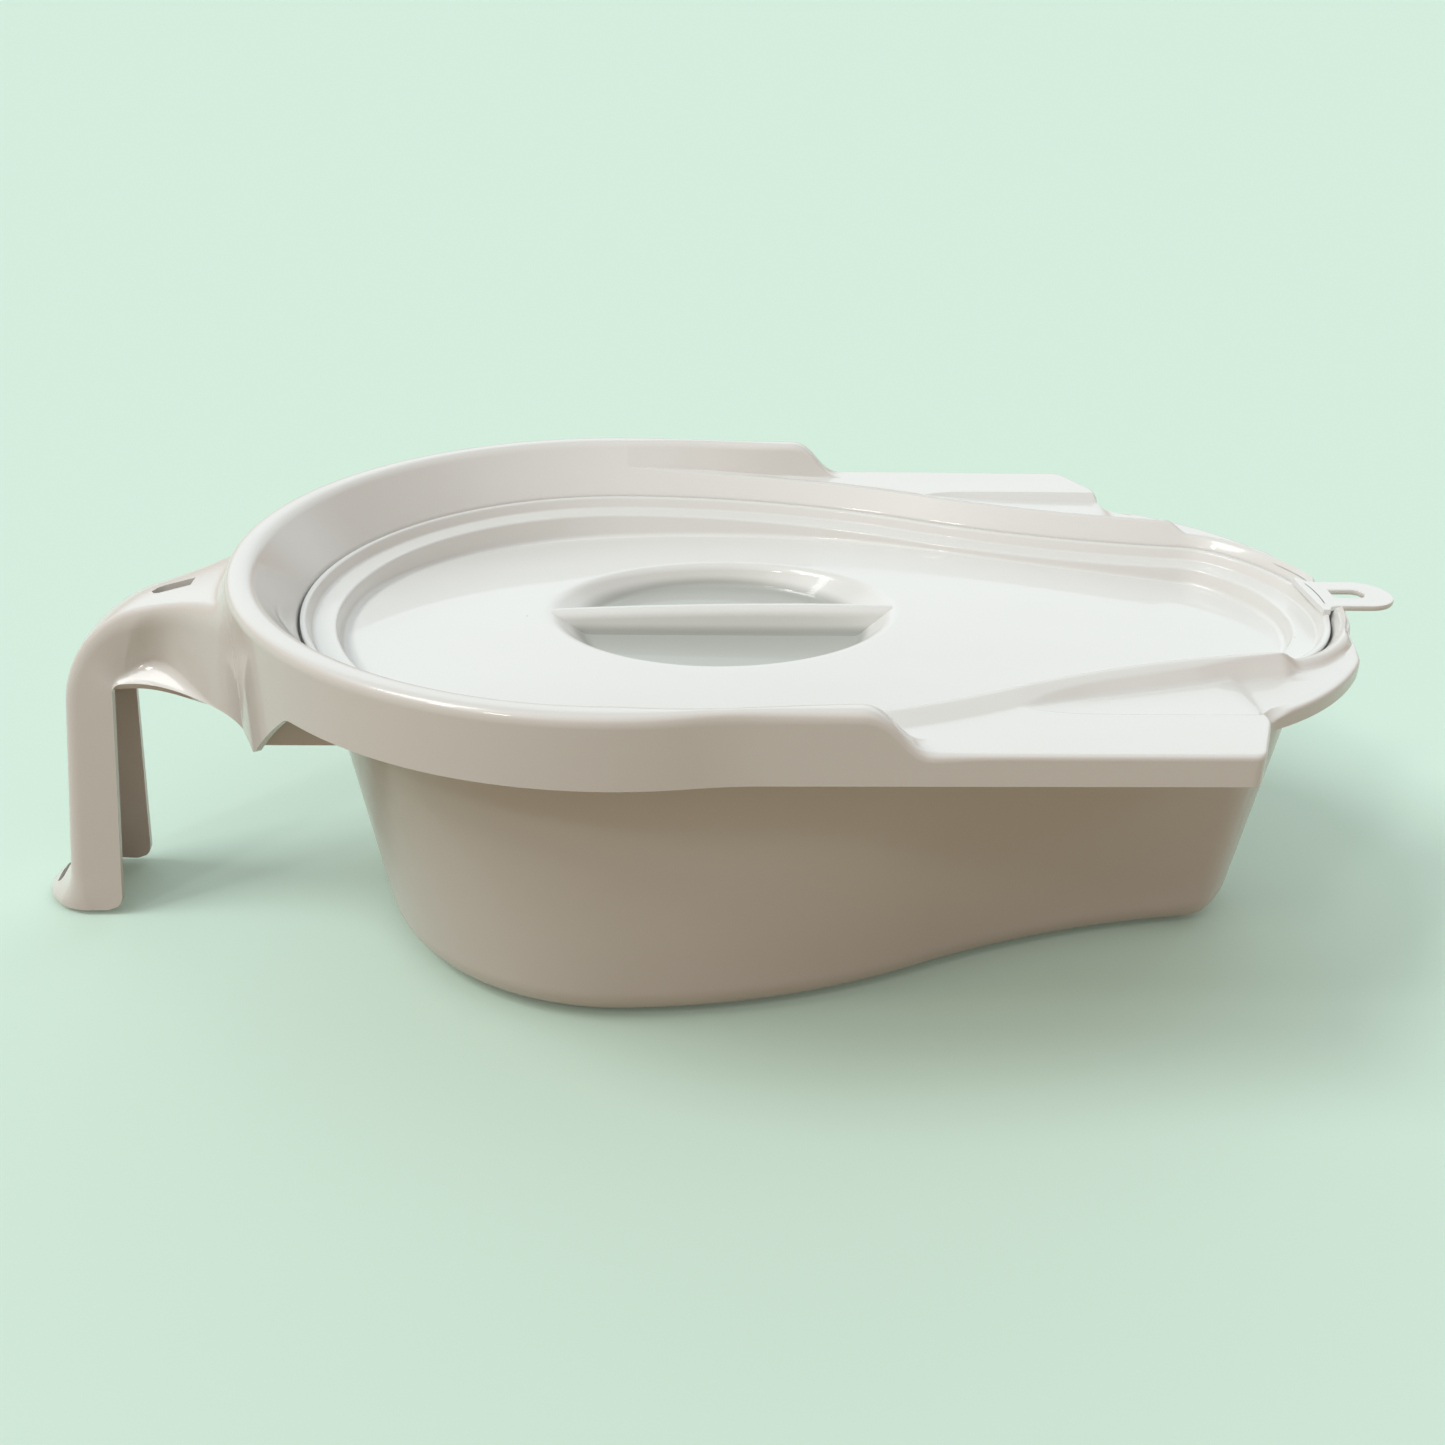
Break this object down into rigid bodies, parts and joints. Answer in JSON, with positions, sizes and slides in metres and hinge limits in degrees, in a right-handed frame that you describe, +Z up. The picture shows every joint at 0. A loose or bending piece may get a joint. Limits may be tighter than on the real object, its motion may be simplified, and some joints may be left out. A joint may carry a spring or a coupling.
{
  "type": "commode pan with lid",
  "caption": "Keyhole-shaped commode pan with slide rails, raised rim, pouring nose and a channel handle that reaches the floor, closed by a lift-off lid with a finger recess.",
  "frame": {"origin": "on the floor, under the middle of the whole part's length and width", "axes": "+X from the handle to the pouring nose, +Y across the rails, +Z up"},
  "size_m": [0.5684, 0.3078, 0.1584],
  "materials": {
    "pan_plastic": "satin moulded polypropylene, pale warm grey",
    "lid_plastic": "satin moulded polypropylene, pale grey"
  },
  "bodies": {
    "pan": {"pan": "pan_plastic"},
    "lid": {"lid": "lid_plastic"}
  },
  "joints": [
    {"name": "lid_lift", "type": "slide", "parent": "pan", "child": "lid", "axis": [0, 0, 1], "range_m": [0, 0.08]}
  ]
}
